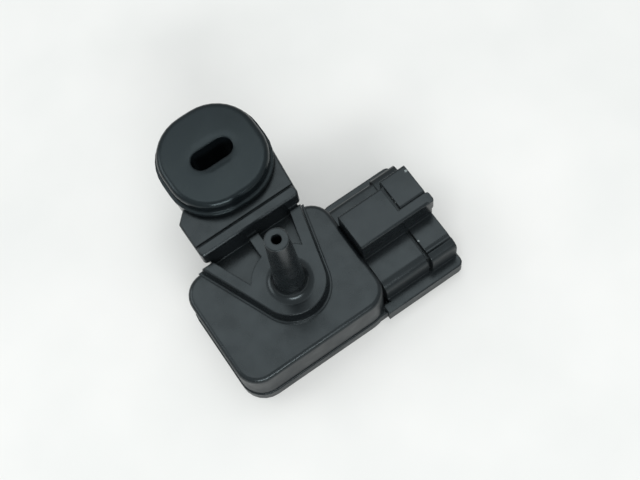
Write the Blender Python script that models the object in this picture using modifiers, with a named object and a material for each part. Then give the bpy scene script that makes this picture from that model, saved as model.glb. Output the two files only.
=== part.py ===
"""Three-terminal manifold pressure sensor with a hose nozzle and a rubber-bushed mounting tab.

World frame: metres, +Z up. The origin is where the nozzle's axis meets the underside of the
base, the connector points along +X and the mounting tab along +Y.
"""

from math import acos, atan2, cos, pi, radians, sin, sqrt

import bmesh
import bpy
from mathutils import Matrix

MM = 0.001

# Clearances
SEAT = 0.3 * MM            # between mouldings that meet
CHIP_SEAT = 0.2 * MM       # under the small parts on the board
INSERT = 0.1 * MM          # round a terminal in the plastic that holds it

# Cover: a rounded cap over the base, seen from the nozzle's axis
COVER_LEFT = 18.4 * MM
COVER_RIGHT = 14.6 * MM
COVER_FRONT = 12.8 * MM
COVER_BACK = 13.0 * MM
COVER_TOP = 12.0 * MM
COVER_CORNER = 4.8 * MM
COVER_RIM = 1.0 * MM
COVER_WALL = 1.9 * MM
COVER_ROOF = 1.8 * MM

# Drop-shaped pad on the cover, with its end concentric with the nozzle
PAD_TOP = 15.4 * MM
PAD_RADIUS = 6.95 * MM
PAD_LEFT_LEAN = radians(22.6)
PAD_RIGHT_LEAN = radians(14.5)
PAD_DRAFT = 0.35 * MM
PAD_LEDGE = 0.4 * MM
PAD_LEDGE_RISE = 0.3 * MM
PAD_EDGE = 0.25 * MM
POCKET_RING = 7.7 * MM
POCKET_DEPTH = 3.2 * MM
RIM_LEFT = 2.2 * MM
RIM_RIGHT = 2.4 * MM
RIB_WIDTH = 2.2 * MM
RIB_OFFSET = -0.8 * MM

# Nozzle
NOZZLE_TIP = 38.3 * MM
NOZZLE_TIP_RADIUS = 2.25 * MM
NOZZLE_ROOT_RADIUS = 3.15 * MM
NOZZLE_BORE = 0.95 * MM
NOZZLE_EDGE = 0.25 * MM
MOAT_RADIUS = 4.9 * MM
MOAT_DEPTH = 1.5 * MM
MOAT_SHORE = 0.2 * MM
NOZZLE_FILLET = 0.6 * MM

# Mounting tab, its cross bar and its eye
TAB_LEFT = 11.6 * MM
TAB_RIGHT = 11.0 * MM
TAB_SHOULDER_LEFT = 24.6 * MM
TAB_SHOULDER_RIGHT = 27.9 * MM
TAB_CUT = 3.2 * MM
TAB_SPLAY = 1.5 * MM
TAB_TOP = 18.2 * MM
TAB_THICKNESS = 2.8 * MM
BAR_FRONT = 12.8 * MM
BAR_WIDTH = 2.3 * MM
BAR_RISE = 0.5 * MM
BAR_EDGE = 0.3 * MM
BAR_END = 0.8 * MM
BAR_GROOVE = 0.4 * MM
EYE_X = 1.3 * MM
EYE_Y = 28.3 * MM
EYE_WALL = 2.2 * MM
ROOT_DROP = 6.3 * MM
ROOT_INSET = 1.1 * MM
ROOT_SETBACK = 0.35 * MM

# Rubber grommet
WAIST_HALF_LENGTH = 8.0 * MM
WAIST_HALF_WIDTH = 6.4 * MM
WAIST_CORNER = 5.8 * MM
FLANGE_HALF_LENGTH = 10.6 * MM
FLANGE_HALF_WIDTH = 10.8 * MM
FLANGE_STRAIGHT = 1.3 * MM
FLANGE_THICKNESS = 4.2 * MM
FLANGE_EDGE = 0.7 * MM
LIP_REACH = 0.6 * MM
LIP_RISE = 0.3 * MM
LIP_THICKNESS = 1.0 * MM
DISH_SHORE = 0.9 * MM
DISH_SLOPE = 0.7 * MM
DISH_DEPTH = 0.3 * MM
SLOT_HALF_LENGTH = 4.6 * MM
SLOT_HALF_WIDTH = 2.2 * MM
SLOT_WEB = 1.2 * MM

# Base tray
TRAY_PLATE = 2.9 * MM
TRAY_LIP = 0.3 * MM
TRAY_FLOOR = 1.6 * MM
TRAY_EDGE = 0.2 * MM
TRAY_RIM = 1.2 * MM
TRAY_RIM_RISE = 1.3 * MM
GROOVE_WIDTH = 1.1 * MM
GROOVE_DEPTH = 1.0 * MM
BEAD_WIDTH = 0.7 * MM

# Connector shroud on the tray
SHROUD_FRONT = 10.9 * MM
SHROUD_BACK = 9.8 * MM
SHROUD_TOP = 9.7 * MM
SHROUD_FOOT = 0.4 * MM
SHROUD_END = 31.2 * MM
SHROUD_WALL = 1.3 * MM
SHROUD_EDGE = 1.1 * MM
SHROUD_WEB = 2.0 * MM
MOUTH_RISE = 0.3 * MM
WING_FRONT = 13.6 * MM
WING_BACK = 12.8 * MM
WING_TOP = 4.0 * MM
WING_START = 13.2 * MM
WING_END = 31.6 * MM
WING_CORNER = 1.2 * MM
WING_EDGE = 0.2 * MM
EAR_REACH = 2.0 * MM
EAR_OVERLAP = 1.3 * MM
HUMP_FRONT = 3.1 * MM
HUMP_BACK = 5.3 * MM
HUMP_TOP = 16.2 * MM
HUMP_COLLAR_REACH = 1.1 * MM
HUMP_EDGE = 0.6 * MM
RAIL_WIDTH = 2.3 * MM
RAIL_END = 31.8 * MM
RAIL_DROP = 3.4 * MM
RAIL_EDGE = 0.5 * MM
NECK_REACH = 1.4 * MM
COLLAR_START = 25.4 * MM
COLLAR_PROUD = 0.55 * MM
SLIT_WIDTH = 0.6 * MM
SLIT_DEPTH = 0.6 * MM
VALLEY_FRONT = 9.0 * MM
VALLEY_RADIUS = 0.9 * MM
VALLEY_DEPTH = 0.3 * MM

# Terminals
TERMINAL_PITCH = 5.0 * MM
TERMINAL_MIDDLE = -0.5 * MM
TERMINAL_HEIGHT = 5.3 * MM
TERMINAL_THICKNESS = 0.64 * MM
BLADE_WIDTH = 2.2 * MM
BLADE_END = 26.0 * MM
BLADE_TAPER = 0.22 * MM
ARM_WIDTH = 1.2 * MM
TAIL_X = 7.0 * MM
TAIL_DROP = 0.9 * MM

# Circuit board and what it carries
BOARD_TO_NECK = 1.2 * MM
BOARD_THICKNESS = 1.0 * MM
BOARD_LEDGE = 1.4 * MM
BOARD_HOLE = 1.3 * MM
BOARD_CORNER = 1.2 * MM
SOLDER_RADIUS = 1.3 * MM
SOLDER_HEIGHT = 0.45 * MM
SOLDER_NECK = 0.2 * MM
CASE_SIZE = 7.2 * MM
CASE_HEIGHT = 3.1 * MM
CASE_WALL = 1.1 * MM
CASE_FLOOR = 0.8 * MM
CASE_CORNER = 0.4 * MM
LID_THICKNESS = 0.4 * MM
LID_PORT = 0.8 * MM
PEDESTAL_SIZE = 2.4 * MM
PEDESTAL_HEIGHT = 0.6 * MM
DIE_SIZE = 1.9 * MM
DIE_HEIGHT = 0.4 * MM
PORT_SEAL_RADIUS = 2.6 * MM
PORT_SEAL_BORE = 1.4 * MM
LEAD_WIDTH = 0.6 * MM
LEAD_THICKNESS = 0.25 * MM
LEAD_REACH = 1.5 * MM
LEAD_SHOULDER = 0.6 * MM
LEAD_RISE = 1.1 * MM
LEAD_PITCH = 2.2 * MM
AMPLIFIER_SIZE = (5.0 * MM, 4.0 * MM, 1.4 * MM)
AMPLIFIER_PLACE = (-11.0 * MM, 3.4 * MM)
AMPLIFIER_EDGE = 0.2 * MM
CAPACITOR_SIZE = (1.25 * MM, 2.0 * MM, 1.0 * MM)
CAPACITOR_X = -7.2 * MM
CAPACITOR_ROW = -6.6 * MM
CAPACITOR_PITCH = 2.6 * MM
RESISTOR_SIZE = (1.6 * MM, 0.8 * MM, 0.5 * MM)
RESISTOR_PLACES = ((-11.0 * MM, -1.2 * MM), (-11.0 * MM, -3.4 * MM))

# Heights and places that follow from the sizes above
COVER_FOOT = TRAY_PLATE + SEAT
FLANGE_CORNER = min(FLANGE_HALF_LENGTH, FLANGE_HALF_WIDTH) - FLANGE_STRAIGHT
ROOF_UNDERSIDE = COVER_TOP - COVER_ROOF
TAB_UNDERSIDE = TAB_TOP - TAB_THICKNESS
BAR_BACK = BAR_FRONT + BAR_WIDTH
BAR_TOP = TAB_TOP + BAR_RISE
SHROUD_START = COVER_RIGHT + SEAT
BOARD_BOTTOM = TRAY_PLATE + CHIP_SEAT
WELL_INSET = COVER_WALL + SEAT + TRAY_RIM
BOARD_TOP = BOARD_BOTTOM + BOARD_THICKNESS
TERMINAL_LOW = TERMINAL_HEIGHT - TERMINAL_THICKNESS / 2
TERMINAL_HIGH = TERMINAL_HEIGHT + TERMINAL_THICKNESS / 2
CASE_FOOT = BOARD_TOP + CHIP_SEAT
CASE_TOP = CASE_FOOT + CASE_HEIGHT

ARC_STEPS = 6
ROUND_STEPS = 36
EMBED = 0.8 * MM           # how far joined shapes reach into each other
OVER = 2.0 * MM            # how far a cut runs past an outer face
SHARPEST_CORNER = 0.5 * MM


def empty_scene():
    for thing in list(bpy.data.objects):
        bpy.data.objects.remove(thing, do_unlink=True)


empty_scene()
PARTS = bpy.data.collections.new("pressure_sensor")
CUTTERS = bpy.data.collections.new("cutters")
bpy.context.scene.collection.children.link(PARTS)
bpy.context.scene.collection.children.link(CUTTERS)


def material(name, colour, roughness, metallic=0.0):
    finish = bpy.data.materials.new(name)
    finish.use_nodes = True
    shader = finish.node_tree.nodes["Principled BSDF"]
    shader.inputs["Base Color"].default_value = (*colour, 1.0)
    shader.inputs["Roughness"].default_value = roughness
    shader.inputs["Metallic"].default_value = metallic
    return finish


# Object helpers


def tool(name, mesh):
    """A hidden shape that is cut from, or joined to, a part."""
    thing = bpy.data.objects.new(name, mesh)
    thing.hide_render = True
    thing.display_type = "WIRE"
    CUTTERS.objects.link(thing)
    return thing


def part(name, mesh, finish, crease=32):
    thing = bpy.data.objects.new(name, mesh)
    mesh.materials.append(finish)
    mesh.shade_smooth()
    mesh.set_sharp_from_angle(angle=radians(crease))
    PARTS.objects.link(thing)
    return thing


def combine(thing, operation, others):
    for other in others:
        step = thing.modifiers.new(f"{operation.lower()}_{other.name}", "BOOLEAN")
        step.operation = operation
        step.solver = "EXACT"
        step.object = other


def join(thing, others):
    combine(thing, "UNION", others)


def cut(thing, others):
    combine(thing, "DIFFERENCE", others)


def finished(name, work):
    mesh = bpy.data.meshes.new(name)
    work.normal_update()
    bmesh.ops.recalc_face_normals(work, faces=work.faces)
    work.to_mesh(mesh)
    work.free()
    return mesh


# Shape helpers


def box_mesh(name, low, high, upright=0.0, rim=0.0, steps=ARC_STEPS, rim_steps=3):
    """A box from its low to its high corner, with rounded upright edges and a rounded top rim."""
    work = bmesh.new()
    bmesh.ops.create_cube(work, size=1.0)
    for vert in work.verts:
        for axis in range(3):
            vert.co[axis] = high[axis] if vert.co[axis] > 0 else low[axis]
    if upright:
        edges = [edge for edge in work.edges if is_upright(edge)]
        bmesh.ops.bevel(work, geom=edges, offset=upright, segments=steps, profile=0.5, affect="EDGES")
    if rim:
        round_at_height(work, high[2], rim, rim_steps)
    return finished(name, work)


def is_upright(edge):
    first, second = (vert.co for vert in edge.verts)
    return abs(first.x - second.x) + abs(first.y - second.y) < 1e-7


def round_at_height(work, height, radius, steps):
    """Round every edge that lies at one height and bounds the flat face there."""
    edges = [edge for edge in work.edges
             if all(abs(vert.co.z - height) < 1e-6 for vert in edge.verts)
             and edge.calc_face_angle(0.0) > radians(30)]
    bmesh.ops.bevel(work, geom=edges, offset=radius, segments=steps, profile=0.5, affect="EDGES")


def bar_mesh(name, low, high, edge, steps=3):
    """A box along X whose two long upper edges are rounded."""
    work = bmesh.new()
    bmesh.ops.create_cube(work, size=1.0)
    for vert in work.verts:
        for axis in range(3):
            vert.co[axis] = high[axis] if vert.co[axis] > 0 else low[axis]
    edges = [item for item in work.edges
             if all(abs(vert.co.z - high[2]) < 1e-7 for vert in item.verts)
             and abs(item.verts[0].co.y - item.verts[1].co.y) < 1e-7]
    bmesh.ops.bevel(work, geom=edges, offset=edge, segments=steps, profile=0.5, affect="EDGES")
    return finished(name, work)


def plate_work(name, outline, low, high):
    """A flat outline, a closed 2D curve, extruded from one height to another."""
    curve = bpy.data.curves.new(name, "CURVE")
    curve.dimensions = "2D"
    curve.fill_mode = "BOTH"
    curve.extrude = (high - low) / 2
    spline = curve.splines.new("POLY")
    spline.points.add(len(outline) - 1)
    for point, (x, y) in zip(spline.points, outline):
        point.co = (x, y, 0.0, 1.0)
    spline.use_cyclic_u = True
    guide = bpy.data.objects.new(name, curve)
    CUTTERS.objects.link(guide)
    shape = guide.evaluated_get(bpy.context.evaluated_depsgraph_get())
    mesh = bpy.data.meshes.new_from_object(shape)
    bpy.data.objects.remove(guide, do_unlink=True)
    work = bmesh.new()
    work.from_mesh(mesh)
    bpy.data.meshes.remove(mesh)
    bmesh.ops.remove_doubles(work, verts=work.verts, dist=1e-7)
    bmesh.ops.dissolve_limit(work, angle_limit=radians(0.5), verts=work.verts, edges=work.edges)
    for vert in work.verts:
        vert.co.z = high if vert.co.z > 0 else low
    bmesh.ops.recalc_face_normals(work, faces=work.faces)
    return work


def plate_mesh(name, outline, low, high, rim=0.0, foot=0.0, steps=3):
    work = plate_work(name, outline, low, high)
    if rim:
        round_at_height(work, high, rim, steps)
    if foot:
        round_at_height(work, low, foot, steps)
    return finished(name, work)


def turned_mesh(name, profile, centre=(0.0, 0.0), steps=ROUND_STEPS):
    """A profile of (radius, height) points, run top to bottom down its outer side, turned about Z."""
    mesh = bpy.data.meshes.new(name)
    points = [(radius, 0.0, height) for radius, height in profile]
    mesh.from_pydata(points, [(i, i + 1) for i in range(len(points) - 1)], [])
    guide = bpy.data.objects.new(name, mesh)
    CUTTERS.objects.link(guide)
    screw = guide.modifiers.new("turn", "SCREW")
    screw.steps = steps
    screw.render_steps = steps
    screw.use_merge_vertices = True
    screw.merge_threshold = 1e-7
    shape = guide.evaluated_get(bpy.context.evaluated_depsgraph_get())
    turned = bpy.data.meshes.new_from_object(shape)
    bpy.data.objects.remove(guide, do_unlink=True)
    work = bmesh.new()
    work.from_mesh(turned)
    bmesh.ops.remove_doubles(work, verts=work.verts, dist=1e-7)
    bmesh.ops.translate(work, verts=work.verts, vec=(centre[0], centre[1], 0.0))
    return finished(name, work)


def arc(centre, radius, start, end, steps):
    """Points on an arc, both ends included."""
    turn = [start + (end - start) * i / steps for i in range(steps + 1)]
    return [(centre[0] + radius * cos(a), centre[1] + radius * sin(a)) for a in turn]


def oval(centre, half_length, half_width, corner, steps=9):
    """A rounded rectangle about a centre, anticlockwise."""
    points = []
    for quarter in range(4):
        side_x = half_length - corner if quarter in (0, 3) else corner - half_length
        side_y = half_width - corner if quarter in (0, 1) else corner - half_width
        middle = (centre[0] + side_x, centre[1] + side_y)
        points += arc(middle, corner, quarter * pi / 2, (quarter + 1) * pi / 2, steps)
    return without_repeats(points)


def without_repeats(points):
    kept = [points[0]]
    for point in points[1:]:
        if abs(point[0] - kept[-1][0]) + abs(point[1] - kept[-1][1]) > 1e-6:
            kept.append(point)
    if abs(kept[0][0] - kept[-1][0]) + abs(kept[0][1] - kept[-1][1]) < 1e-6:
        kept.pop()
    return kept


def cover_outline(grow):
    """The cover's plan, grown outwards by a distance, or drawn in where that is negative."""
    middle = ((COVER_RIGHT - COVER_LEFT) / 2, (COVER_BACK - COVER_FRONT) / 2)
    half_length = (COVER_RIGHT + COVER_LEFT) / 2 + grow
    half_width = (COVER_BACK + COVER_FRONT) / 2 + grow
    return oval(middle, half_length, half_width, max(COVER_CORNER + grow, SHARPEST_CORNER), ARC_STEPS)


# Cover


def flank(lean, side):
    """The outward direction of one flank of the pad; side is -1 on the left and 1 on the right."""
    return side * cos(lean), -sin(lean)


def flank_x(normal, distance, y):
    """Where the line at a distance from the nozzle's axis crosses a given y."""
    return (distance - normal[1] * y) / normal[0]


def pad_outline(grow, back):
    left = flank(PAD_LEFT_LEAN, -1)
    right = flank(PAD_RIGHT_LEAN, 1)
    radius = PAD_RADIUS + grow
    start = pi + PAD_LEFT_LEAN
    end = 2 * pi - PAD_RIGHT_LEAN
    corners = [(flank_x(right, radius, back), back), (flank_x(left, radius, back), back)]
    return arc((0.0, 0.0), radius, start, end, 18) + corners


def pad_mesh():
    """A low ledge, a drafted wall and a flat top, drawn in from the ledge's outline."""
    ledge_top = COVER_TOP + PAD_LEDGE_RISE
    back = BAR_FRONT + INSERT
    work = plate_work("pad", pad_outline(PAD_DRAFT + PAD_LEDGE, back), COVER_TOP - EMBED, ledge_top)
    top = flat_face(work, ledge_top)
    bmesh.ops.inset_region(work, faces=[top], thickness=PAD_LEDGE, depth=0.0, use_even_offset=True)
    bmesh.ops.inset_region(work, faces=[top], thickness=PAD_DRAFT, depth=PAD_TOP - ledge_top,
                           use_even_offset=True)
    round_at_height(work, PAD_TOP, PAD_EDGE, 2)
    return finished("pad", work)


def flat_face(work, height):
    level = [face for face in work.faces
             if all(abs(vert.co.z - height) < 1e-6 for vert in face.verts)]
    return max(level, key=lambda face: face.calc_area())


def pocket_mesh(name, lean, side, rim, rib_side):
    """The recess between the bar, the rib, the ring round the nozzle and one rim of the pad."""
    normal = flank(lean, side)
    along = (-side * normal[1], side * normal[0])
    distance = PAD_RADIUS - rim
    reach = sqrt(POCKET_RING ** 2 - distance ** 2)
    corner = (normal[0] * distance + along[0] * reach, normal[1] * distance + along[1] * reach)
    start = atan2(corner[1], corner[0])
    end = acos(rib_side / POCKET_RING)
    ring = arc((0.0, 0.0), POCKET_RING, start, end, 5)
    outline = ring + [(rib_side, BAR_FRONT), (flank_x(normal, distance, BAR_FRONT), BAR_FRONT)]
    return plate_mesh(name, outline, PAD_TOP - POCKET_DEPTH, PAD_TOP + EMBED)


def moat_profile():
    """A soft bowl round the nozzle: over the pad's edge in a double curve, then up the nozzle in a fillet."""
    bottom = PAD_TOP - MOAT_DEPTH
    middle = NOZZLE_ROOT_RADIUS + NOZZLE_FILLET
    fall = [i / 10 for i in range(2, 11)]
    slope = [(MOAT_RADIUS - (MOAT_RADIUS - middle) * t, PAD_TOP - MOAT_DEPTH * (1 - cos(pi * t)) / 2)
             for t in fall]
    fillet = arc((middle, bottom + NOZZLE_FILLET), NOZZLE_FILLET, -pi / 2, -pi, 4)
    top = PAD_TOP + EMBED
    past = MOAT_RADIUS + MOAT_SHORE
    shore = [(NOZZLE_ROOT_RADIUS, top), (past, top), (past, PAD_TOP + MOAT_SHORE / 10)]
    return shore + slope + fillet[1:] + [(NOZZLE_ROOT_RADIUS, top)]


def nozzle_profile():
    foot = ROOF_UNDERSIDE + EMBED
    return [(0.0, NOZZLE_TIP),
            (NOZZLE_TIP_RADIUS - NOZZLE_EDGE, NOZZLE_TIP),
            (NOZZLE_TIP_RADIUS, NOZZLE_TIP - NOZZLE_EDGE),
            (NOZZLE_ROOT_RADIUS, PAD_TOP),
            (NOZZLE_ROOT_RADIUS, foot),
            (0.0, foot)]


def bore_profile():
    top = NOZZLE_TIP + EMBED
    foot = ROOF_UNDERSIDE - EMBED
    return [(0.0, top), (NOZZLE_BORE, top), (NOZZLE_BORE, foot), (0.0, foot)]


def waist(grow=0.0):
    return oval((EYE_X, EYE_Y), WAIST_HALF_LENGTH + grow, WAIST_HALF_WIDTH + grow, WAIST_CORNER + grow)


def tab_outline():
    """Bar to shoulders: the right side runs out a little, the left shoulder is cut off under the flange."""
    back = BAR_FRONT + BAR_END
    return [(-TAB_LEFT, back), (TAB_RIGHT, back), (TAB_RIGHT + TAB_SPLAY, TAB_SHOULDER_RIGHT),
            (EYE_X, TAB_SHOULDER_RIGHT), (EYE_X, TAB_SHOULDER_LEFT),
            (TAB_CUT - TAB_LEFT, TAB_SHOULDER_LEFT), (-TAB_LEFT, TAB_SHOULDER_LEFT - TAB_CUT)]


def build_cover(finish):
    """Cap, pad, nozzle, cross bar and tab: one moulding."""
    low = (-COVER_LEFT, -COVER_FRONT, COVER_FOOT)
    high = (COVER_RIGHT, COVER_BACK, COVER_TOP)
    cover = part("cover", box_mesh("cover", low, high, COVER_CORNER, COVER_RIM, 8, 4), finish)
    bar_foot = min(TAB_UNDERSIDE, PAD_TOP) - EMBED
    bar = box_mesh("bar", (-TAB_LEFT, BAR_FRONT, bar_foot), (TAB_RIGHT, BAR_BACK, BAR_TOP),
                   BAR_END, BAR_EDGE, 3, 1)
    root = box_mesh("root", (ROOT_INSET - TAB_LEFT, COVER_BACK - OVER, PAD_TOP - ROOT_DROP),
                    (TAB_RIGHT - ROOT_INSET, BAR_BACK - ROOT_SETBACK, PAD_TOP - ROOT_SETBACK))
    tab = plate_mesh("tab", tab_outline(), TAB_UNDERSIDE, TAB_TOP, rim=BAR_EDGE, steps=1)
    groove = box_mesh("bar_groove", (-TAB_LEFT - EMBED, BAR_BACK, TAB_TOP - BAR_GROOVE),
                      (TAB_RIGHT + EMBED, BAR_BACK + BAR_GROOVE, TAB_TOP + EMBED))
    ring_grow = SEAT + EYE_WALL
    ring = plate_mesh("eye_ring", waist(ring_grow), TAB_UNDERSIDE + INSERT, TAB_TOP - INSERT)
    join(cover, [tool("pad", pad_mesh()), tool("root", root), tool("bar", bar), tool("tab", tab),
                 tool("eye_ring", ring), tool("nozzle", turned_mesh("nozzle", nozzle_profile()))])
    rib_left = RIB_OFFSET - RIB_WIDTH / 2
    rib_right = RIB_OFFSET + RIB_WIDTH / 2
    inner_low = COVER_FOOT - EMBED
    chamber = plate_mesh("chamber", cover_outline(-COVER_WALL), inner_low, ROOF_UNDERSIDE)
    neck_low, neck_high = neck_box(SEAT)
    doorway = box_mesh("doorway", (neck_low[0], neck_low[1], inner_low),
                       (COVER_RIGHT + EMBED, neck_high[1], neck_high[2]))
    eye = plate_mesh("eye", waist(SEAT), TAB_UNDERSIDE - EMBED, TAB_TOP + EMBED)
    cut(cover, [
        tool("pocket_left", pocket_mesh("pocket_left", PAD_LEFT_LEAN, -1, RIM_LEFT, rib_left)),
        tool("pocket_right", pocket_mesh("pocket_right", PAD_RIGHT_LEAN, 1, RIM_RIGHT, rib_right)),
        tool("moat", turned_mesh("moat", moat_profile())), tool("bar_groove", groove),
        tool("chamber", chamber), tool("doorway", doorway), tool("eye", eye),
        tool("bore", turned_mesh("bore", bore_profile(), steps=20))])


# Base and connector


def neck_box(grow=0.0):
    """The block that carries the terminals through the cover's wall."""
    low = (COVER_RIGHT - COVER_WALL - NECK_REACH - grow, COVER_WALL - SHROUD_FRONT - grow, TRAY_FLOOR)
    high = (SHROUD_START + EMBED, SHROUD_BACK - COVER_WALL + grow, SHROUD_TOP - EMBED + grow)
    return low, high


def terminal_rows():
    return [TERMINAL_MIDDLE + TERMINAL_PITCH * place for place in (-1, 0, 1)]


def shroud_shapes():
    """The connector's outside: wings, shroud, hump, its rail and the collar at the mouth."""
    start = SHROUD_START
    wings = box_mesh("wings", (start, -WING_FRONT, SHROUD_FOOT), (WING_END, WING_BACK, WING_TOP),
                     WING_CORNER, WING_EDGE, 3, 1)
    ear = box_mesh("ear", (WING_START, -WING_FRONT, SHROUD_FOOT),
                   (start + EAR_REACH, EAR_OVERLAP - COVER_FRONT, WING_TOP))
    shroud = bar_mesh("shroud", (start, -SHROUD_FRONT, SHROUD_FOOT), (SHROUD_END, SHROUD_BACK, SHROUD_TOP),
                      SHROUD_EDGE)
    hump = bar_mesh("hump", (start, -HUMP_FRONT, SHROUD_TOP - EMBED), (SHROUD_END, HUMP_BACK, HUMP_TOP),
                    HUMP_EDGE, 2)
    rail = box_mesh("rail", (SHROUD_END - EMBED, -HUMP_FRONT, HUMP_TOP - RAIL_DROP),
                    (RAIL_END, RAIL_WIDTH - HUMP_FRONT, HUMP_TOP), RAIL_EDGE, 0.0, 2)
    proud = COLLAR_PROUD
    collar = bar_mesh("collar", (COLLAR_START, -SHROUD_FRONT - proud, WING_TOP - EMBED),
                      (SHROUD_END, SHROUD_BACK + proud, SHROUD_TOP + proud), SHROUD_EDGE + proud)
    hump_collar = bar_mesh("hump_collar", (COLLAR_START, RAIL_WIDTH - HUMP_FRONT, SHROUD_TOP - EMBED),
                           (SHROUD_END, HUMP_BACK + HUMP_COLLAR_REACH, HUMP_TOP + proud), HUMP_EDGE, 2)
    return [tool(mesh.name, mesh) for mesh in (wings, ear, shroud, hump, rail, collar, hump_collar)]


def shroud_cuts():
    """The mouth, the latch channel under the hump, the slits and the valley in the collar."""
    deep = SHROUD_START + SHROUD_WEB
    past = RAIL_END + EMBED
    wall = SHROUD_WALL
    mouth = box_mesh("mouth", (deep, wall - SHROUD_FRONT, SHROUD_FOOT + wall + MOUTH_RISE),
                     (past, SHROUD_BACK - wall, SHROUD_TOP - wall))
    channel = box_mesh("channel", (deep, wall - HUMP_FRONT, SHROUD_TOP - wall - EMBED),
                       (past, HUMP_BACK - wall, HUMP_TOP - wall))
    slit_start = COLLAR_START - SLIT_WIDTH
    slit_end = COLLAR_START
    slits = [
        box_mesh("slit_hump", (slit_start, RAIL_WIDTH - HUMP_FRONT, HUMP_TOP - SLIT_DEPTH),
                 (slit_end, HUMP_BACK + OVER, HUMP_TOP + OVER)),
        box_mesh("slit_top", (slit_start, -SHROUD_FRONT - OVER, SHROUD_TOP - SLIT_DEPTH),
                 (slit_end, -HUMP_FRONT, SHROUD_TOP + OVER)),
        box_mesh("slit_front", (slit_start, -SHROUD_FRONT - OVER, WING_TOP),
                 (slit_end, SLIT_DEPTH - SHROUD_FRONT, SHROUD_TOP + OVER)),
        box_mesh("slit_back", (slit_start, SHROUD_BACK - SLIT_DEPTH, WING_TOP),
                 (slit_end, SHROUD_BACK + OVER, SHROUD_TOP + OVER))]
    return [tool(mesh.name, mesh) for mesh in [mouth, channel] + slits] + [valley()]


def valley():
    """A shallow round-bottomed trough along the collar."""
    work = bmesh.new()
    length = SHROUD_END - COLLAR_START + 2 * EMBED
    middle = ((SHROUD_END + COLLAR_START) / 2 + EMBED, -VALLEY_FRONT,
              SHROUD_TOP + COLLAR_PROUD + VALLEY_RADIUS - VALLEY_DEPTH)
    bmesh.ops.create_cone(work, cap_ends=True, segments=20, radius1=VALLEY_RADIUS, radius2=VALLEY_RADIUS,
                          depth=length, matrix=Matrix.Translation(middle) @ Matrix.Rotation(pi / 2, 4, "Y"))
    return tool("valley", finished("valley", work))


def build_housing(finish):
    """Base tray and connector shroud: one moulding with the terminals set in it."""
    tray = plate_mesh("housing", cover_outline(TRAY_LIP), 0.0, TRAY_PLATE, rim=TRAY_EDGE, steps=1)
    housing = part("connector_housing", tray, finish)
    apron = box_mesh("apron", (COVER_RIGHT - COVER_CORNER - TRAY_LIP, -COVER_FRONT, 0.0),
                     (SHROUD_START + EMBED, WING_BACK - TRAY_LIP, TRAY_PLATE - TRAY_EDGE))
    rim_outline = cover_outline(-COVER_WALL - SEAT)
    rim = plate_mesh("tray_rim", rim_outline, TRAY_FLOOR, TRAY_PLATE + TRAY_RIM_RISE)
    neck = box_mesh("neck", *neck_box())
    join(housing, [tool("apron", apron), tool("tray_rim", rim), tool("neck", neck)] + shroud_shapes())

    well = plate_mesh("well", cover_outline(-WELL_INSET), TRAY_PLATE,
                      TRAY_PLATE + TRAY_RIM_RISE + EMBED)
    sump = plate_mesh("sump", cover_outline(-WELL_INSET - BOARD_LEDGE), TRAY_FLOOR,
                      TRAY_PLATE + EMBED)
    neck_low, neck_high = neck_box()
    keep = box_mesh("neck_keep", (neck_low[0], neck_low[1], 0.0),
                    (neck_high[0] + EMBED, neck_high[1], SHROUD_TOP))
    keeper = tool("neck_keep", keep)
    hollows = [tool("well", well), tool("sump", sump)]
    for hollow in hollows:
        cut(hollow, [keeper])
    slots = [tool(f"slot_{i}", terminal_slot(f"slot_{i}", y)) for i, y in enumerate(terminal_rows())]
    cut(housing, hollows + [groove_tool()] + shroud_cuts() + slots)


def terminal_slot(name, y):
    """The passage that the plastic leaves for one terminal."""
    half = BLADE_WIDTH / 2 + INSERT
    return box_mesh(name, (neck_box()[0][0] - EMBED, y - half, TERMINAL_LOW - INSERT),
                    (SHROUD_START + SHROUD_WEB + EMBED, y + half, TERMINAL_HIGH + INSERT))


def bead_ring(name, width, spare, low, high):
    """A ring under the middle of the cover's wall that stops short of the connector's neck."""
    outer = plate_mesh(name, cover_outline((width - COVER_WALL) / 2), low, high)
    inner = plate_mesh(f"{name}_hole", cover_outline((-width - COVER_WALL) / 2), low - EMBED, high + EMBED)
    neck_low, neck_high = neck_box(SEAT + spare)
    gate = box_mesh(f"{name}_gate", (0.0, neck_low[1], low - EMBED),
                    (SHROUD_START + EMBED, neck_high[1], high + EMBED))
    return outer, [tool(inner.name, inner), tool(gate.name, gate)]


def groove_tool():
    outer, holes = bead_ring("groove", GROOVE_WIDTH, INSERT, TRAY_PLATE - GROOVE_DEPTH, TRAY_PLATE + EMBED)
    groove = tool("groove", outer)
    cut(groove, holes)
    return groove


def build_bead(finish):
    """The bead of sealant in the tray's groove, under the cover's edge."""
    low = TRAY_PLATE - GROOVE_DEPTH + CHIP_SEAT
    outer, holes = bead_ring("bead", BEAD_WIDTH, INSERT + CHIP_SEAT, low, COVER_FOOT - CHIP_SEAT)
    cut(part("cover_sealant_bead", outer, finish), holes)


# Grommet


def slot_outline(grow=0.0):
    return oval((EYE_X, EYE_Y), SLOT_HALF_LENGTH + grow, SLOT_HALF_WIDTH + grow, SLOT_HALF_WIDTH + grow, 7)


def dish_mesh():
    """The shallow dish round the slot: a flat shore, then a slope that runs on above the flange's face."""
    top = TAB_TOP + SEAT + FLANGE_THICKNESS
    work = plate_work("dish", slot_outline(DISH_SHORE + 2 * DISH_SLOPE), top - DISH_DEPTH, top + DISH_DEPTH)
    for vert in flat_face(work, top - DISH_DEPTH).verts:
        for axis, middle, half in ((0, EYE_X, SLOT_HALF_LENGTH), (1, EYE_Y, SLOT_HALF_WIDTH)):
            shore = half + DISH_SHORE
            vert.co[axis] = middle + (vert.co[axis] - middle) * shore / (shore + 2 * DISH_SLOPE)
    return finished("dish", work)


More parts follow.
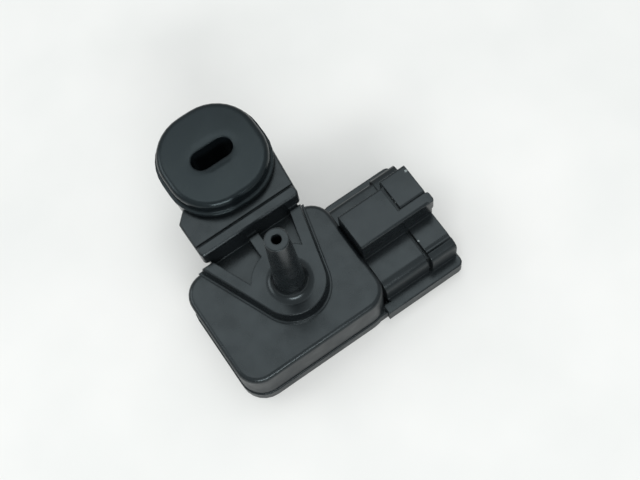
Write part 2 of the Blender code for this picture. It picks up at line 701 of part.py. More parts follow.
def flange_outline(grow=0.0):
    return oval((EYE_X, EYE_Y), FLANGE_HALF_LENGTH + grow, FLANGE_HALF_WIDTH + grow, FLANGE_CORNER + grow)


def build_grommet(finish):
    """Two thick oval flanges and a waist that fills the tab's eye, slotted down to a thin web."""
    flange_low = TAB_TOP + SEAT
    flange_high = flange_low + FLANGE_THICKNESS
    under_high = TAB_UNDERSIDE - SEAT
    under_low = under_high - FLANGE_THICKNESS
    flange = plate_mesh("flange", flange_outline(), flange_low, flange_high, rim=FLANGE_EDGE, steps=5)
    grommet = part("grommet", flange, finish, 21)
    lip_low = flange_low + LIP_RISE
    lip = plate_mesh("lip", flange_outline(LIP_REACH), lip_low, lip_low + LIP_THICKNESS)
    core = plate_mesh("core", waist(), under_high - EMBED, flange_low + EMBED)
    under = plate_mesh("under_flange", flange_outline(), under_low, under_high, foot=FLANGE_EDGE)
    join(grommet, [tool("lip", lip), tool("core", core), tool("under_flange", under)])
    slot = plate_mesh("grommet_slot", slot_outline(), under_low + SLOT_WEB, flange_high + EMBED)
    cut(grommet, [tool("dish", dish_mesh()), tool("grommet_slot", slot)])


# Terminals


def build_terminal(name, y, finish):
    """A stamped blade with a tapered tip, a narrow arm over the board and a tail down through it."""
    work = bmesh.new()
    bmesh.ops.create_cube(work, size=1.0)
    start = neck_box()[0][0]
    low = (start, y - BLADE_WIDTH / 2, TERMINAL_LOW)
    high = (BLADE_END, y + BLADE_WIDTH / 2, TERMINAL_HIGH)
    for vert in work.verts:
        for axis in range(3):
            vert.co[axis] = high[axis] if vert.co[axis] > 0 else low[axis]
    tip = [edge for edge in work.edges if all(abs(vert.co.x - BLADE_END) < 1e-7 for vert in edge.verts)]
    bmesh.ops.bevel(work, geom=tip, offset=BLADE_TAPER, segments=1, affect="EDGES")
    blade = part(name, finished(name, work), finish)
    tail_half = TERMINAL_THICKNESS / 2
    arm = box_mesh(f"{name}_arm", (TAIL_X - tail_half, y - ARM_WIDTH / 2, TERMINAL_LOW),
                   (start + EMBED, y + ARM_WIDTH / 2, TERMINAL_HIGH))
    tail = box_mesh(f"{name}_tail", (TAIL_X - tail_half, y - tail_half, BOARD_BOTTOM - TAIL_DROP),
                    (TAIL_X + tail_half, y + tail_half, TERMINAL_HIGH - INSERT))
    join(blade, [tool(f"{name}_arm", arm), tool(f"{name}_tail", tail)])


# Board and electronics


def build_board(finish):
    inset = WELL_INSET + SEAT
    low = (inset - COVER_LEFT, inset - COVER_FRONT, BOARD_BOTTOM)
    high = (neck_box()[0][0] - BOARD_TO_NECK, COVER_BACK - inset, BOARD_TOP)
    board = part("circuit_board", box_mesh("board", low, high, BOARD_CORNER, 0.0, 3), finish)
    half = BOARD_HOLE / 2
    holes = [box_mesh(f"board_hole_{i}", (TAIL_X - half, y - half, BOARD_BOTTOM - EMBED),
                      (TAIL_X + half, y + half, BOARD_TOP + EMBED)) for i, y in enumerate(terminal_rows())]
    cut(board, [tool(mesh.name, mesh) for mesh in holes])


def build_solder(name, y, finish):
    """A cone of solder round one tail, on top of the board."""
    low = BOARD_TOP + INSERT
    top = low + SOLDER_HEIGHT
    hole = TERMINAL_THICKNESS / sqrt(2) + INSERT
    profile = [(hole, top), (hole + SOLDER_NECK, top), (SOLDER_RADIUS, low), (hole, low), (hole, top)]
    part(name, turned_mesh(name, profile, (TAIL_X, y), 16), finish)


def place_chip(name, size, centre, finish, edge=0.0):
    """A small moulded or ceramic block that stands on the board."""
    low = (centre[0] - size[0] / 2, centre[1] - size[1] / 2, BOARD_TOP + CHIP_SEAT)
    high = (centre[0] + size[0] / 2, centre[1] + size[1] / 2, BOARD_TOP + CHIP_SEAT + size[2])
    part(name, box_mesh(name, low, high, 0.0, edge, rim_steps=1), finish)


def build_element(case_finish, lid_finish, glass, silicon, rubber):
    """The sensing element: a moulded cup, its pedestal and die, its ported lid and the port's seal."""
    half = CASE_SIZE / 2
    inner = half - CASE_WALL
    block = box_mesh("case", (-half, -half, CASE_FOOT), (half, half, CASE_TOP), CASE_CORNER, 0.0, 2)
    case = part("element_case", block, case_finish)
    cup = box_mesh("cup", (-inner, -inner, CASE_FOOT + CASE_FLOOR), (inner, inner, CASE_TOP + EMBED))
    cut(case, [tool("cup", cup)])
    base = CASE_FOOT + CASE_FLOOR + CHIP_SEAT
    wide = PEDESTAL_SIZE / 2
    pedestal = box_mesh("pedestal", (-wide, -wide, base), (wide, wide, base + PEDESTAL_HEIGHT))
    part("die_pedestal", pedestal, glass)
    base += PEDESTAL_HEIGHT + CHIP_SEAT
    wide = DIE_SIZE / 2
    part("pressure_die", box_mesh("die", (-wide, -wide, base), (wide, wide, base + DIE_HEIGHT)), silicon)
    lid_low = CASE_TOP + CHIP_SEAT
    lid_high = lid_low + LID_THICKNESS
    sheet = box_mesh("lid", (-half, -half, lid_low), (half, half, lid_high), CASE_CORNER, 0.0, 2)
    lid = part("element_lid", sheet, lid_finish)
    port = [(0.0, lid_low + EMBED), (LID_PORT, lid_low + EMBED), (LID_PORT, lid_low - EMBED),
            (0.0, lid_low - EMBED)]
    cut(lid, [tool("lid_port", turned_mesh("lid_port", port, steps=16))])
    low = lid_high + CHIP_SEAT
    high = ROOF_UNDERSIDE - CHIP_SEAT
    seal = [(PORT_SEAL_BORE, high), (PORT_SEAL_RADIUS, high), (PORT_SEAL_RADIUS, low), (PORT_SEAL_BORE, low),
            (PORT_SEAL_BORE, high)]
    part("port_seal", turned_mesh("port_seal", seal, steps=24), rubber)


def build_lead(name, side, row, finish):
    """A gull-wing lead of the element: out of the case, down and along the board."""
    start = CASE_SIZE / 2 + CHIP_SEAT
    foot = BOARD_TOP + CHIP_SEAT
    shoulder = foot + LEAD_RISE
    thick = LEAD_THICKNESS
    y = row * LEAD_PITCH
    bend = start + LEAD_SHOULDER
    end = start + LEAD_REACH
    outline = [(start, shoulder), (start, shoulder - thick), (bend - thick, shoulder - thick),
               (bend - thick, foot), (end, foot), (end, foot + thick), (bend, foot + thick),
               (bend, shoulder)]
    work = plate_work(name, outline, -LEAD_WIDTH / 2, LEAD_WIDTH / 2)
    for vert in work.verts:
        vert.co.x, vert.co.y, vert.co.z = side * vert.co.x, y + vert.co.z, vert.co.y
    part(name, finished(name, work), finish)


def build_electronics():
    green = material("board_green", (0.03, 0.16, 0.08), 0.5)
    tin = material("tin_solder", (0.60, 0.61, 0.62), 0.3, 1.0)
    brass = material("tinned_brass", (0.72, 0.66, 0.50), 0.3, 1.0)
    epoxy = material("chip_epoxy", (0.02, 0.02, 0.02), 0.5)
    ceramic = material("chip_ceramic", (0.42, 0.30, 0.20), 0.45)
    steel = material("lid_steel", (0.55, 0.56, 0.57), 0.35, 1.0)
    glass = material("pedestal_glass", (0.65, 0.72, 0.70), 0.15)
    silicon = material("silicon", (0.16, 0.18, 0.22), 0.2, 0.6)
    rubber = material("seal_rubber", (0.03, 0.03, 0.03), 0.7)
    build_board(green)
    names = ("ground", "signal", "supply")
    for name, y in zip(names, terminal_rows()):
        build_terminal(f"terminal_{name}", y, brass)
        build_solder(f"solder_joint_{name}", y, tin)
    build_element(epoxy, steel, glass, silicon, rubber)
    for side, word in ((-1, "left"), (1, "right")):
        for row in (-1, 0, 1):
            build_lead(f"element_lead_{word}_{row + 2}", side, row, tin)
    place_chip("amplifier_chip", AMPLIFIER_SIZE, AMPLIFIER_PLACE, epoxy, AMPLIFIER_EDGE)
    for i in range(3):
        place = (CAPACITOR_X, CAPACITOR_ROW + i * CAPACITOR_PITCH)
        place_chip(f"capacitor_{i + 1}", CAPACITOR_SIZE, place, ceramic)
    for i, place in enumerate(RESISTOR_PLACES):
        place_chip(f"resistor_{i + 1}", RESISTOR_SIZE, place, epoxy)


build_cover(material("cover_plastic", (0.045, 0.052, 0.056), 0.42))
build_housing(material("housing_plastic", (0.045, 0.052, 0.056), 0.42))
build_bead(material("sealant", (0.10, 0.10, 0.11), 0.6))
build_grommet(material("grommet_rubber", (0.028, 0.034, 0.038), 0.55))
build_electronics()
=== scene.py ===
"""A manifold pressure sensor lying on its base: satin black mouldings, a rubber bush and tinned blades."""
from math import radians

import bmesh
import bpy
import numpy as np
from mathutils import Matrix


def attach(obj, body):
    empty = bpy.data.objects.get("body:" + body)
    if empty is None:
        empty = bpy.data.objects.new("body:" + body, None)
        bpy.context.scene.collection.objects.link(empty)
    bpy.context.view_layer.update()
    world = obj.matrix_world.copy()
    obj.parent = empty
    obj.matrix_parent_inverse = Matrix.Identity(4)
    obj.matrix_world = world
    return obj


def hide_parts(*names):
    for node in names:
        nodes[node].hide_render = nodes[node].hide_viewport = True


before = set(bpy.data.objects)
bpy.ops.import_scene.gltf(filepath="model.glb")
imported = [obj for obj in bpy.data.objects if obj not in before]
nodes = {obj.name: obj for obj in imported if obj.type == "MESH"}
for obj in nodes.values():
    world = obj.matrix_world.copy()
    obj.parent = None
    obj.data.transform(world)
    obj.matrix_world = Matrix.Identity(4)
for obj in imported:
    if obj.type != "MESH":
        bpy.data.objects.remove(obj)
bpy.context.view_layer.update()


# The camera looks down on the sensor from a hand's height above the bench, a little from the nozzle's
# front left, with the connector to the right and the mounting tab away from it. Its three axes and its
# place are in metres in the sensor's own frame.
camera_right = (0.8223153, -0.5626941, -0.0846930)
camera_up = (0.5539277, 0.7575066, 0.3454677)
camera_back = (-0.1302372, -0.3309971, 0.9346011)
camera_place = (-0.0194188, -0.0693158, 0.2210592)
camera_data = bpy.data.cameras.new("camera")
camera_data.sensor_width = 36.0
camera_data.lens = 63.857
camera_data.clip_start = 0.01
camera = bpy.data.objects.new("camera", camera_data)
camera.matrix_world = Matrix([*zip(camera_right, camera_up, camera_back, camera_place), (0, 0, 0, 1)])
bpy.context.scene.collection.objects.link(camera)
bpy.context.scene.camera = camera
bpy.context.scene.view_settings.view_transform = "Standard"


# The bench is a wide board with an off-white eggshell paint, rolled on, which leaves a very faint
# mottle. It lies flat under the sensor and catches its soft shadow.
def linear(code):
    """An sRGB hex colour as linear red, green, blue and alpha."""
    parts = np.array([int(code[i:i + 2], 16) for i in (1, 3, 5)]) / 255
    parts = np.where(parts <= 0.04045, parts / 12.92, ((parts + 0.055) / 1.055) ** 2.4)
    return (*parts, 1.0)


def add(tree, kind, settings=None, **links):
    """Adds a node. Settings name its properties or sockets. Links join its sockets to others, and a
    link called n0, n1 and so on goes to the socket of that number."""
    node = tree.nodes.new("ShaderNode" + kind)
    for name, value in (settings or {}).items():
        if isinstance(name, int) or name in node.inputs:
            node.inputs[name].default_value = value
        else:
            setattr(node, name, value)
    for name, source in links.items():
        key = name.replace("_", " ")
        key = int(key[1:]) if key[0] == "n" and key[1:].isdigit() else key
        tree.links.new(source, node.inputs[key])
    return node


def finish(name):
    """A new material with its Principled shader."""
    made = bpy.data.materials.new(name)
    made.use_nodes = True
    return made, made.node_tree, made.node_tree.nodes["Principled BSDF"]


def two_shades(tree, noise, dark, light, low, high):
    """A noise's value as a colour that runs from the dark shade at low to the light one at high."""
    ramp = add(tree, "ValToRGB", None, Fac=noise.outputs["Fac"])
    for stop, shade, spot in zip(ramp.color_ramp.elements, (dark, light), (low, high)):
        stop.color = linear(shade)
        stop.position = spot
    return ramp.outputs["Color"]


mm = 0.001
board_half = 2400 * mm
paint_dark, paint_light = "#e4e6e4", "#ecedeb"
mottle_size = 35.7 * mm
own_light, own_share = 0.9, 0.33

board_mesh = bpy.data.meshes.new("bench")
corners = [(-board_half, -board_half, 0), (board_half, -board_half, 0),
           (board_half, board_half, 0), (-board_half, board_half, 0)]
board_mesh.from_pydata(corners, [], [(0, 1, 2, 3)])
bench = bpy.data.objects.new("bench", board_mesh)
bpy.context.scene.collection.objects.link(bench)

# Eggshell paint scatters nearly all light. To the camera, and in what the sensor mirrors, a third of it
# comes from the board's own even light, so the shadow under the sensor stays pale.
paint, tree, shader = finish("eggshell_painted_board")
place = add(tree, "TexCoord")
mottle = add(tree, "TexNoise", {"Scale": 1 / mottle_size, "Detail": 3.0}, Vector=place.outputs["Object"])
tint = two_shades(tree, mottle, paint_dark, paint_light, 0.3, 0.7)
tree.links.new(tint, shader.inputs["Base Color"])
shader.inputs["Roughness"].default_value = 0.6
shader.inputs["Specular IOR Level"].default_value = 0.2
path = add(tree, "LightPath")
seen = add(tree, "Math", {"operation": "MAXIMUM"},
           n0=path.outputs["Is Camera Ray"], n1=path.outputs["Is Glossy Ray"])
seen = add(tree, "Math", {"operation": "MAXIMUM"},
           n0=seen.outputs["Value"], n1=path.outputs["Is Transmission Ray"])
share = add(tree, "Math", {"operation": "MULTIPLY", 1: own_share}, n0=seen.outputs["Value"])
glow = add(tree, "Emission", {"Strength": own_light}, Color=tint)
blend = add(tree, "MixShader", None, Fac=share.outputs["Value"],
            n1=shader.outputs["BSDF"], n2=glow.outputs["Emission"])
tree.links.new(blend.outputs["Shader"], tree.nodes["Material Output"].inputs["Surface"])
board_mesh.materials.append(paint)


# The light is that of a pale room, brighter towards its ceiling, with three lamps: a soft box overhead
# and a little behind, whose light the level faces mirror, a wide diffuser at the rear left, and a low
# strip in front that draws the highlights on the near fillets.
room = bpy.data.worlds.new("pale_room")
bpy.context.scene.world = room
room.use_nodes = True
sky = room.node_tree
towards = add(sky, "TexCoord").outputs["Generated"]
rise = add(sky, "SeparateXYZ", None, Vector=towards).outputs["Z"]
ceiling = add(sky, "MapRange", {"interpolation_type": "SMOOTHSTEP", "From Min": 0.1, "From Max": 0.8,
                                "To Min": 0.5, "To Max": 0.86}, Value=rise)
sky.links.new(ceiling.outputs["Result"], sky.nodes["Background"].inputs["Strength"])
sky.nodes["Background"].inputs["Color"].default_value = linear("#f8fafb")


def diffuser(name, size, place, power):
    """A rectangular lamp of a width and height at a place, turned to face the sensor."""
    lamp = bpy.data.lights.new(name, "AREA")
    lamp.shape = "RECTANGLE"
    lamp.size, lamp.size_y = size
    lamp.energy = power
    back = np.array(place) / np.linalg.norm(place)
    side = np.cross((0.0, 0.0, 1.0), back)
    side /= np.linalg.norm(side)
    up = np.cross(back, side)
    holder = bpy.data.objects.new(name, lamp)
    holder.matrix_world = Matrix([*zip(side, up, back, place), (0, 0, 0, 1)])
    bpy.context.scene.collection.objects.link(holder)


# Metres and watts.
diffuser("overhead_diffuser", (0.50, 0.28), (0.10, 0.20, 0.70), 0.74)
diffuser("rear_left_diffuser", (0.50, 0.30), (-0.50, 0.45, 0.50), 1.5)
diffuser("front_lamp", (0.56, 0.13), (-0.20, -0.61, 0.42), 3.4)


# The cover: cap, pad, nozzle, cross bar and tab in one shot of glass-filled nylon. The mould was spark
# eroded, so the faces are satin with a fine matt grain, and every edge keeps a small radius that
# catches light. It closes the base from above, in a bead of sealant round its foot.
def moulded_plastic(name, shade, light_shade, edge, rubs=()):
    """Satin moulded nylon: nearly black in itself, with a soft sheen where it mirrors the room.

    Its colour runs between two shades over about a centimetre, as the melt flowed, its gloss varies
    over some millimetres, and the bump is the mould's grain. The true grain is finer than the picture
    shows, so it is drawn a quarter of a millimetre coarse. The bevel node rounds each edge to the eye.
    Low upright walls were drawn out of the mould and are a little rougher. Each rub is a place and a
    radius in millimetres where a knock left the plastic pale, with a ragged rim.
    """
    flow, cloud, grain = 11.11 * mm, 3.846 * mm, 0.25 * mm
    rough, grain_height = 0.24, 0.03 * mm
    drawn_top, drawn_fade, drawn_rough = 11.8 * mm, 0.4 * mm, 0.2
    rub_shade, ragged = "#7d8484", 0.3 * mm
    made, tree, shader = finish(name)
    place = add(tree, "TexCoord")
    melt = add(tree, "TexNoise", {"Scale": 1 / flow, "Detail": 4.0, "Roughness": 0.6},
               Vector=place.outputs["Object"])
    colour = two_shades(tree, melt, shade, light_shade, 0.35, 0.7)
    patch = add(tree, "TexNoise", {"Scale": 1 / cloud, "Detail": 5.0}, Vector=place.outputs["Object"])
    gloss = add(tree, "MapRange", {"From Min": 0.3, "From Max": 0.7, "To Min": rough - 0.05,
                                   "To Max": rough + 0.07}, Value=patch.outputs["Fac"])
    pits = add(tree, "TexNoise", {"Scale": 1 / grain, "Detail": 2.0, "Roughness": 0.5},
               Vector=place.outputs["Object"])
    rounded = add(tree, "Bevel", {"Radius": edge, "samples": 6})
    bump = add(tree, "Bump", {"Strength": 0.12, "Distance": grain_height}, Height=pits.outputs["Fac"],
               Normal=rounded.outputs["Normal"])
    for *spot, radius in np.array(rubs) * mm:
        reach = add(tree, "VectorMath", {"operation": "DISTANCE", 1: spot}, n0=place.outputs["Object"])
        tear = add(tree, "Math", {"operation": "MULTIPLY_ADD", 1: 2 * ragged, 2: -ragged},
                   n0=pits.outputs["Fac"])
        reach = add(tree, "Math", {"operation": "ADD"}, n0=reach.outputs["Value"], n1=tear.outputs["Value"])
        bare = add(tree, "MapRange", {"From Min": radius, "From Max": radius / 2},
                   Value=reach.outputs["Value"])
        colour = add(tree, "Mix", {"data_type": "RGBA", 7: linear(rub_shade)},
                     n0=bare.outputs["Result"], n6=colour).outputs[2]
    height = add(tree, "SeparateXYZ", None, Vector=place.outputs["Object"])
    low = add(tree, "MapRange", {"From Min": drawn_top, "From Max": drawn_top - drawn_fade},
              Value=height.outputs["Z"])
    lean = add(tree, "SeparateXYZ", None, Vector=place.outputs["Normal"])
    lean = add(tree, "Math", {"operation": "ABSOLUTE"}, n0=lean.outputs["Z"])
    upright = add(tree, "MapRange", {"From Min": 0.6, "From Max": 0.2}, Value=lean.outputs["Value"])
    drawn = add(tree, "Math", {"operation": "MULTIPLY"},
                n0=low.outputs["Result"], n1=upright.outputs["Result"])
    rougher = add(tree, "Math", {"operation": "MULTIPLY_ADD", 1: drawn_rough},
                  n0=drawn.outputs["Value"], n2=gloss.outputs["Result"])
    tree.links.new(colour, shader.inputs["Base Color"])
    tree.links.new(rougher.outputs["Value"], shader.inputs["Roughness"])
    tree.links.new(bump.outputs["Normal"], shader.inputs["Normal"])
    shader.inputs["IOR"].default_value = 1.42
    shader.inputs["Specular Tint"].default_value = linear("#e9faff")
    return made


def face_weighted(mesh):
    """Corner normals: for each corner, the area-weighted sum of the faces at its point that lean less
    than the crease angle from the corner's own face. Flat faces stay flat and fillets run into them."""
    faces = len(mesh.polygons)
    point = np.empty(len(mesh.loops), dtype=np.int32)
    mesh.loops.foreach_get("vertex_index", point)
    area, normal, sides = np.empty(faces), np.empty(3 * faces), np.empty(faces, dtype=np.int32)
    mesh.polygons.foreach_get("area", area)
    mesh.polygons.foreach_get("normal", normal)
    mesh.polygons.foreach_get("loop_total", sides)
    normal = normal.reshape(-1, 3)
    owner = np.repeat(np.arange(faces), sides)
    # Every corner is paired with each corner at its point, itself too.
    order = np.argsort(point, kind="stable")
    count = np.bincount(point, minlength=len(mesh.vertices))
    start = np.cumsum(count) - count
    times = count[point[order]]
    first = np.repeat(order, times)
    step = np.arange(times.sum()) - np.repeat(np.cumsum(times) - times, times)
    second = order[np.repeat(start[point[order]], times) + step]
    near = (normal[owner[first]] * normal[owner[second]]).sum(axis=1) > np.cos(crease)
    total = np.zeros((len(point), 3))
    np.add.at(total, first[near], (area[owner[second], None] * normal[owner[second]])[near])
    return total / np.linalg.norm(total, axis=1, keepdims=True)


def points_of(mesh):
    """A mesh's points as rows of x, y and z."""
    points = np.empty(3 * len(mesh.vertices))
    mesh.vertices.foreach_get("co", points)
    return points.reshape(-1, 3)


def welded_copy(name, made, reshape):
    """A CAD node's mesh welded, freed of flat edges and reshaped: one smooth skin in the node's place,
    creased only where its faces meet more steeply than the crease angle."""
    work = bmesh.new()
    work.from_mesh(nodes[name].data)
    bmesh.ops.remove_doubles(work, verts=work.verts, dist=0.002 * mm)
    bmesh.ops.dissolve_limit(work, angle_limit=radians(0.3), verts=work.verts, edges=work.edges)
    skin = bpy.data.meshes.new(f"{name}_skin")
    work.to_mesh(skin)
    work.free()
    reshape(skin)
    skin.materials.append(made)
    skin.shade_smooth()
    skin.set_sharp_from_angle(angle=crease)
    skin.normals_split_custom_set(face_weighted(skin))
    piece = bpy.data.objects.new(f"{name}_skin", skin)
    bpy.context.scene.collection.objects.link(piece)
    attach(piece, "root")
    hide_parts(name)


def softer_nozzle(skin):
    """The nozzle's outside and the fillet at its root, turned on the nozzle's axis, for the facets.

    From the edge of the bowl in the pad a nearly level ring runs in, a hundredth of a millimetre down
    in half a cosine wave. A quarter circle turns up from it into the wall, the wall tapers evenly, and
    a small quarter circle rounds the tip.
    """
    bowl, floor, pad = 5.05 * mm, 15.39 * mm, 15.4 * mm
    turn, root_radius, tip_radius = 1.85 * mm, 3.15 * mm, 2.25 * mm
    tip, tip_edge = 38.3 * mm, 0.25 * mm
    taper = (root_radius - tip_radius) / (tip - tip_edge - pad)
    wall_foot, wall_head = floor + turn, tip - tip_edge
    wall = tip_radius + taper * (wall_head - wall_foot)
    ring_steps, turn_steps, wall_steps, rim_steps, segments = 12, 8, 5, 4, 36

    wave = np.linspace(0.0, 1.0, ring_steps + 1)
    ring = np.stack([bowl + (wall + turn - bowl) * wave, pad - (pad - floor) * (1 - np.cos(np.pi * wave)) / 2])
    lean = np.linspace(0.0, np.pi / 2, turn_steps + 1)[1:]
    fillet = np.stack([wall + turn - turn * np.sin(lean), floor + turn - turn * np.cos(lean)])
    along = np.linspace(0.0, 1.0, wall_steps + 1)[1:]
    side = np.stack([wall + (tip_radius - wall) * along, wall_foot + (wall_head - wall_foot) * along])
    lean = np.linspace(0.0, np.pi / 2, rim_steps + 1)[1:]
    rim = np.stack([tip_radius - tip_edge * (1 - np.cos(lean)), tip - tip_edge * (1 - np.sin(lean))])
    radius, height = np.concatenate([ring, fillet, side, rim], axis=1)

    angle = np.arange(segments) * 2 * np.pi / segments
    grid = np.stack([radius[:, None] * np.cos(angle), radius[:, None] * np.sin(angle),
                     height[:, None] + 0 * angle], axis=2).reshape(-1, 3)
    row, column = np.meshgrid(np.arange(len(radius) - 1), np.arange(segments), indexing="ij")
    here, there = row * segments + column, row * segments + (column + 1) % segments
    quads = np.stack([here, there, there + segments, here + segments], axis=2).reshape(-1, 4)

    # The old wall and bowl go, between the bore and the bowl's edge, and that edge becomes a true circle.
    bore_clear, bowl_clear, bowl_depth, tip_clear = 1.5 * mm, 4.9 * mm, 1.8 * mm, 0.1 * mm
    points = points_of(skin)
    reach, level = np.hypot(points[:, 0], points[:, 1]), points[:, 2]
    old = ((level > pad - bowl_depth) & (level < tip - tip_clear)
           & (reach > bore_clear) & (reach < bowl_clear))
    edge = (abs(level - pad) < 0.01 * mm) & (abs(reach - bowl) < 0.1 * mm)
    points[edge, :2] *= (bowl / reach[edge])[:, None]
    skin.vertices.foreach_set("co", points.ravel())
    work = bmesh.new()
    work.from_mesh(skin)
    bmesh.ops.delete(work, geom=[vert for vert, gone in zip(work.verts, old) if gone], context="VERTS")
    turned = bpy.data.meshes.new("turned")
    turned.from_pydata(grid.tolist(), [], quads.tolist())
    work.from_mesh(turned)
    bpy.data.meshes.remove(turned)
    bmesh.ops.remove_doubles(work, verts=work.verts, dist=0.005 * mm)
    work.to_mesh(skin)
    work.free()


crease = radians(40)
cover_nylon = moulded_plastic("glass_filled_nylon_cover", "#0e1113", "#14181a", edge=0.3 * mm)
welded_copy("cover", cover_nylon, softer_nozzle)


# The base tray and the plug socket are one moulding of the same nylon, a hair lighter in shade. A few
# of the socket's corners are scuffed pale where plugs and tools knocked them.
def rounder_shroud(skin):
    """The shroud's near upper edge with a bigger radius: seen along x, its arc's middle moves in and
    each spoke of the arc grows by the same length. The shroud's end face comes nearer the cover."""
    middle, grow = np.array([-9.8, 8.6]) * mm, 1.2 * mm
    collar_start, collar_face, under_collar = 25.3 * mm, 25.45 * mm, 1.05 * mm
    end_face, nearer = 14.9 * mm, 0.25 * mm
    points = points_of(skin)
    along, spoke = points[:, 0], points[:, 1:] - middle
    reach = np.hypot(*spoke.T)
    arc = (along < collar_face) & (spoke[:, 0] < 0.03 * mm) & (spoke[:, 1] > -0.03 * mm)
    arc &= (along < collar_start) | (reach < under_collar)
    points[arc, 1:] = middle + (grow, -grow) + spoke[arc] * (1 + grow / reach[arc])[:, None]
    points[abs(along - end_face) < 0.02 * mm, 0] = end_face - nearer
    skin.vertices.foreach_set("co", points.ravel())


corner_rubs = ((25.4, 2.1, 16.2, 0.22), (25.6, -6.3, 10.25, 0.22),
               (30.8, 5.0, 16.75, 0.35), (25.4, 1.0, 16.2, 0.3))
housing_nylon = moulded_plastic("glass_filled_nylon_housing", "#0f1214", "#15191b", edge=0.25 * mm,
                                rubs=corner_rubs)
welded_copy("connector_housing", housing_nylon, rounder_shroud)


# The bush in the tab's eye is moulded rubber, bluish black, smoother than the nylon round its edge. It
# is pressed into the eye, and its two flanges hold the tab between them.
def moulded_rubber(name, shade, light_shade, rough):
    """Dense moulded rubber: a cloudy bloom dulls its dark colour in places, with a soft uneven gloss
    and a fine skin. The bevel node gives it rounder edges than the nylon's."""
    bloom_size, skin_grain, skin_height, edge = 8.33 * mm, 0.4 * mm, 0.03 * mm, 0.7 * mm
    made, tree, shader = finish(name)
    place = add(tree, "TexCoord")
    bloom = add(tree, "TexNoise", {"Scale": 1 / bloom_size, "Detail": 5.0, "Roughness": 0.65},
                Vector=place.outputs["Object"])
    colour = two_shades(tree, bloom, shade, light_shade, 0.35, 0.72)
    gloss = add(tree, "MapRange", {"From Min": 0.3, "From Max": 0.7, "To Min": rough - 0.06,
                                   "To Max": rough + 0.06}, Value=bloom.outputs["Fac"])
    pores = add(tree, "TexNoise", {"Scale": 1 / skin_grain, "Detail": 3.0}, Vector=place.outputs["Object"])
    rounded = add(tree, "Bevel", {"Radius": edge, "samples": 6})
    bump = add(tree, "Bump", {"Strength": 0.08, "Distance": skin_height}, Height=pores.outputs["Fac"],
               Normal=rounded.outputs["Normal"])
    tree.links.new(colour, shader.inputs["Base Color"])
    tree.links.new(gloss.outputs["Result"], shader.inputs["Roughness"])
    tree.links.new(bump.outputs["Normal"], shader.inputs["Normal"])
    shader.inputs["IOR"].default_value = 1.38
    shader.inputs["Specular Tint"].default_value = linear("#daf2f8")
    return made


def rounder_rim(skin):
    """The bush's upper rim with a bigger radius: its quarter round grows inwards and downwards from the
    outer wall and the top face, which stay where they are."""
    middle, top, edge, grow, face_reach = np.array([1.3, 28.3]) * mm, 22.7 * mm, 0.7 * mm, 1.7, 9.9 * mm
    points = points_of(skin)
    spoke = points[:, :2] - middle
    reach = np.hypot(*spoke.T)
    rise = points[:, 2] - (top - edge)
    rim = (reach > face_reach) & (rise > -0.01 * mm)
    inset = edge - np.sqrt(np.maximum(edge ** 2 - rise[rim] ** 2, 0.0))
    points[rim, :2] = middle + spoke[rim] * (1 - inset * (grow - 1) / reach[rim])[:, None]
    points[rim, 2] = top - (top - points[rim, 2]) * grow
    skin.vertices.foreach_set("co", points.ravel())


bush_rubber = moulded_rubber("vulcanised_rubber_bush", "#0a0e10", "#101518", 0.2)
welded_copy("grommet", bush_rubber, rounder_rim)


# Two seals keep the weather and the hose's air apart: a bead of grey silicone, run into the tray's
# groove before the cover goes on, and a black nitrile ring, pinched between nozzle and element.
def dress(name, made):
    """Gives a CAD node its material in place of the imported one."""
    mesh = nodes[name].data
    mesh.materials.clear()
    mesh.materials.append(made)


dress("cover_sealant_bead", moulded_rubber("cured_silicone_bead", "#4a4b4e", "#56585b", 0.55))
dress("port_seal", moulded_rubber("nitrile_seal", "#161616", "#1d1d1d", 0.6))


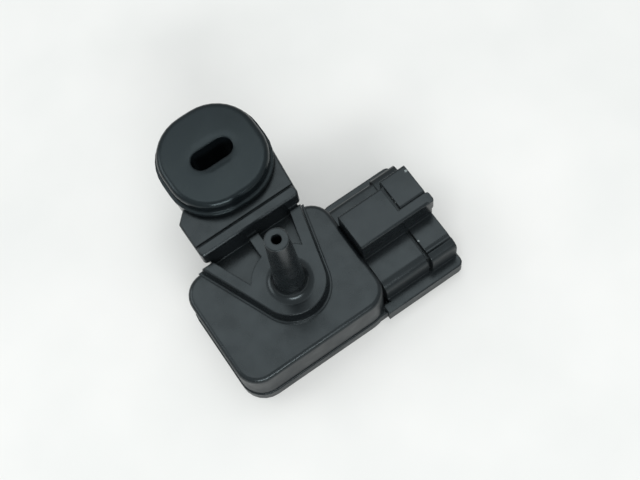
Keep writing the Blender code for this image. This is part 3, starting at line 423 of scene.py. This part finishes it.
# The board is glass laminate under a green mask, cut to drop into the tray. Its amplifier is moulded in
# black epoxy, its resistors are coated with it, and its capacitors are brown fired ceramic.
def plain_stock(name, shade, light_shade, rough, metallic, grain):
    """Stock with no finish of its own: two shades in a fine noise that also moves the gloss a little."""
    made, tree, shader = finish(name)
    place = add(tree, "TexCoord")
    noise = add(tree, "TexNoise", {"Scale": 1 / grain, "Detail": 4.0}, Vector=place.outputs["Object"])
    colour = two_shades(tree, noise, shade, light_shade, 0.0, 1.0)
    gloss = add(tree, "MapRange", {"To Min": rough - 0.05, "To Max": rough + 0.05},
                Value=noise.outputs["Fac"])
    tree.links.new(colour, shader.inputs["Base Color"])
    tree.links.new(gloss.outputs["Result"], shader.inputs["Roughness"])
    shader.inputs["Metallic"].default_value = metallic
    return made


epoxy = plain_stock("moulded_epoxy", "#141416", "#1b1c1e", 0.5, 0.0, 0.5 * mm)
dress("circuit_board", plain_stock("masked_glass_laminate", "#12452a", "#185535", 0.45, 0.0, 1.43 * mm))
for name in nodes:
    if name.startswith(("amplifier", "resistor")):
        dress(name, epoxy)
    elif name.startswith("capacitor"):
        dress(name, plain_stock(f"fired_ceramic_{name}", "#7d5d3f", "#8d6d4d", 0.5, 0.0, 0.556 * mm))


# The sensing element: a polished silicon die bonded on a pedestal of cut glass, in a case of the same
# epoxy under a pressed steel lid with nickel plate.
dress("pressure_die", plain_stock("polished_silicon_die", "#34393f", "#3f454d", 0.18, 0.6, 0.667 * mm))
dress("die_pedestal", plain_stock("cut_borosilicate_pedestal", "#b9c6c1", "#c7d2ce", 0.15, 0.0, 0.667 * mm))
dress("element_case", epoxy)
dress("element_lid", plain_stock("nickel_plated_steel_lid", "#a9abac", "#bcbec0", 0.32, 1.0, 0.833 * mm))


# The three blades are brass strip, blanked, bent and tinned, and run from the board into the socket.
# Their joints and the element's leads shine with bright tin solder.
tinned_brass = plain_stock("tinned_brass_strip", "#b9b3a0", "#cfcbbd", 0.28, 1.0, 1.11 * mm)
tin_solder = plain_stock("tin_solder", "#b4b6b8", "#c9cbcc", 0.3, 1.0, 0.667 * mm)
for name in nodes:
    if name.startswith("terminal"):
        dress(name, tinned_brass)
    elif name.startswith(("solder", "element_lead")):
        dress(name, tin_solder)
